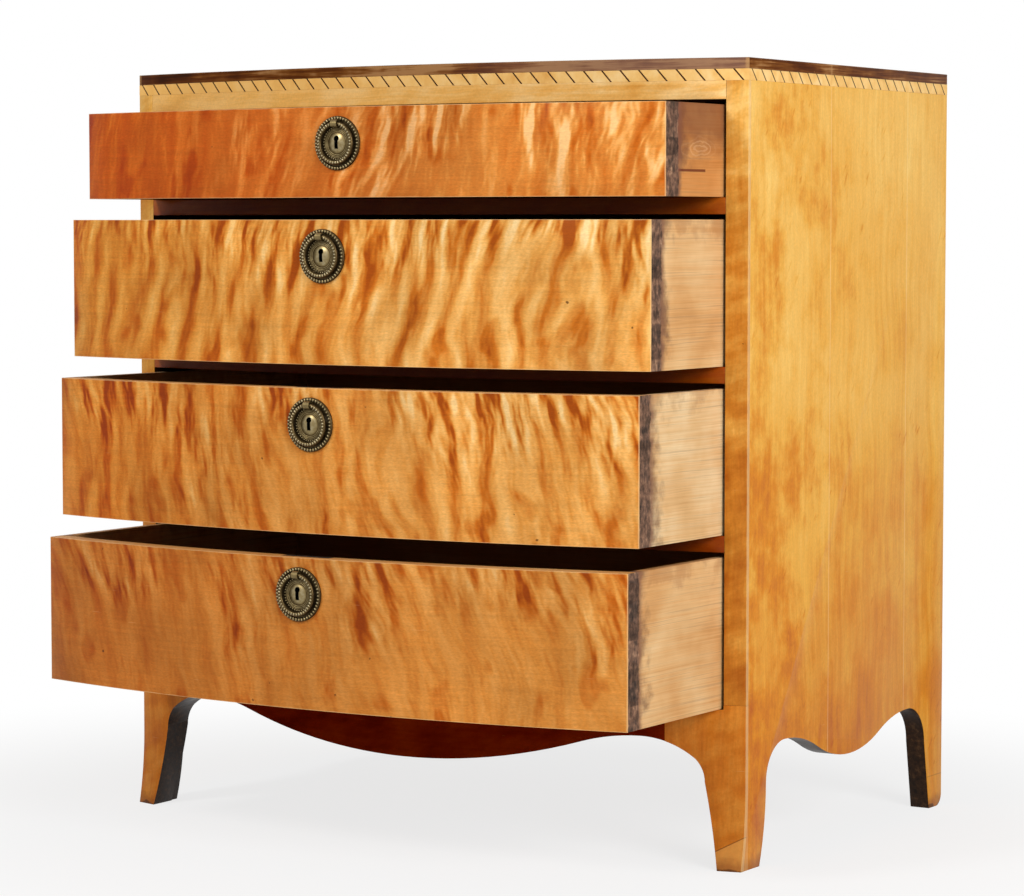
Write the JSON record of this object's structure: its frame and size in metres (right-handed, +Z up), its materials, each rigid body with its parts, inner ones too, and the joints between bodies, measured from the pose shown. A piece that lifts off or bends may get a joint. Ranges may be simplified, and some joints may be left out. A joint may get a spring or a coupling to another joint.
{
  "type": "bow front chest of drawers",
  "caption": "Free-standing chest with a bowed front, graduated sliding drawers on runners, hanging ring pulls, drawer locks, a banded top and shaped bracket feet, stored with its drawers part open.",
  "frame": {"origin": "on the floor, under the middle of the box of the stored pose with its drawers open", "axes": "+Z up, +X to the chest's right as seen from the front, -Y the way the drawers open"},
  "size_m": [0.812, 0.7394, 0.86],
  "materials": {
    "side_birch": "golden birch veneer, shellac polish",
    "frame_birch": "amber birch, shellac polish",
    "flame_birch": "flame birch veneer with wavy figure, shellac polish",
    "drawer_pine": "bare aged pine",
    "core_pine": "bare aged pine with dark end grain",
    "dark_band": "dark crossband, shellac polish",
    "pale_inlay": "pale birch inlay, shellac polish",
    "old_brass": "aged brass with worn highlights",
    "lock_iron": "dark aged iron"
  },
  "bodies": {
    "carcass": {"top_board": "side_birch", "top_edge_band": "dark_band", "inlay_band": "pale_inlay", "inlay_lines": "dark_band", "top_rail": "frame_birch", "divider_rail_1": "frame_birch", "divider_rail_2": "frame_birch", "divider_rail_3": "frame_birch", "back_boards": "drawer_pine", "side_panel_right": "side_birch", "side_panel_left": "side_birch", "front_stile_right": "frame_birch", "front_stile_left": "frame_birch", "bottom_board": "drawer_pine", "front_foot_right": "frame_birch", "front_foot_left": "frame_birch", "apron": "frame_birch", "glue_blocks": "lock_iron", "drawer_runners": "drawer_pine", "drawer_stops": "drawer_pine"},
    "drawer_1": {"drawer_1_bottom": "drawer_pine", "drawer_1_sides": "drawer_pine", "drawer_1_back": "drawer_pine", "drawer_1_pull_post": "old_brass", "drawer_1_lock_case": "lock_iron", "drawer_1_pull_plate": "old_brass", "drawer_1_front": "core_pine", "drawer_1_veneer": "flame_birch"},
    "ring_1": {"drawer_1_pull_ring": "old_brass"},
    "bolt_1": {"drawer_1_lock_bolt": "lock_iron"},
    "drawer_2": {"drawer_2_bottom": "drawer_pine", "drawer_2_sides": "drawer_pine", "drawer_2_back": "drawer_pine", "drawer_2_pull_post": "old_brass", "drawer_2_lock_case": "lock_iron", "drawer_2_pull_plate": "old_brass", "drawer_2_front": "core_pine", "drawer_2_veneer": "flame_birch"},
    "ring_2": {"drawer_2_pull_ring": "old_brass"},
    "bolt_2": {"drawer_2_lock_bolt": "lock_iron"},
    "drawer_3": {"drawer_3_bottom": "drawer_pine", "drawer_3_sides": "drawer_pine", "drawer_3_back": "drawer_pine", "drawer_3_pull_post": "old_brass", "drawer_3_lock_case": "lock_iron", "drawer_3_pull_plate": "old_brass", "drawer_3_front": "core_pine", "drawer_3_veneer": "flame_birch"},
    "ring_3": {"drawer_3_pull_ring": "old_brass"},
    "bolt_3": {"drawer_3_lock_bolt": "lock_iron"},
    "drawer_4": {"drawer_4_bottom": "drawer_pine", "drawer_4_sides": "drawer_pine", "drawer_4_back": "drawer_pine", "drawer_4_pull_post": "old_brass", "drawer_4_lock_case": "lock_iron", "drawer_4_pull_plate": "old_brass", "drawer_4_front": "core_pine", "drawer_4_veneer": "flame_birch"},
    "ring_4": {"drawer_4_pull_ring": "old_brass"},
    "bolt_4": {"drawer_4_lock_bolt": "lock_iron"}
  },
  "joints": [
    {"name": "drawer_1_slide", "type": "slide", "parent": "carcass", "child": "drawer_1", "axis": [0, -1, 0], "range_m": [-0.12, 0.24]},
    {"name": "ring_1_swing", "type": "hinge", "parent": "drawer_1", "child": "ring_1", "pos_m": [0, -0.2913, 0.7928], "axis": [-1, 0, 0], "range_deg": [0, 120]},
    {"name": "bolt_1_throw", "type": "slide", "parent": "drawer_1", "child": "bolt_1", "axis": [0, 0, 1], "range_m": [0, 0.009]},
    {"name": "drawer_2_slide", "type": "slide", "parent": "carcass", "child": "drawer_2", "axis": [0, -1, 0], "range_m": [-0.149, 0.211]},
    {"name": "ring_2_swing", "type": "hinge", "parent": "drawer_2", "child": "ring_2", "pos_m": [0, -0.3203, 0.6723], "axis": [-1, 0, 0], "range_deg": [0, 120]},
    {"name": "bolt_2_throw", "type": "slide", "parent": "drawer_2", "child": "bolt_2", "axis": [0, 0, 1], "range_m": [0, 0.009]},
    {"name": "drawer_3_slide", "type": "slide", "parent": "carcass", "child": "drawer_3", "axis": [0, -1, 0], "range_m": [-0.172, 0.188]},
    {"name": "ring_3_swing", "type": "hinge", "parent": "drawer_3", "child": "ring_3", "pos_m": [0, -0.3433, 0.494], "axis": [-1, 0, 0], "range_deg": [0, 120]},
    {"name": "bolt_3_throw", "type": "slide", "parent": "drawer_3", "child": "bolt_3", "axis": [0, 0, 1], "range_m": [0, 0.009]},
    {"name": "drawer_4_slide", "type": "slide", "parent": "carcass", "child": "drawer_4", "axis": [0, -1, 0], "range_m": [-0.194, 0.166]},
    {"name": "ring_4_swing", "type": "hinge", "parent": "drawer_4", "child": "ring_4", "pos_m": [0, -0.3653, 0.3151], "axis": [-1, 0, 0], "range_deg": [0, 120]},
    {"name": "bolt_4_throw", "type": "slide", "parent": "drawer_4", "child": "bolt_4", "axis": [0, 0, 1], "range_m": [0, 0.009]}
  ]
}
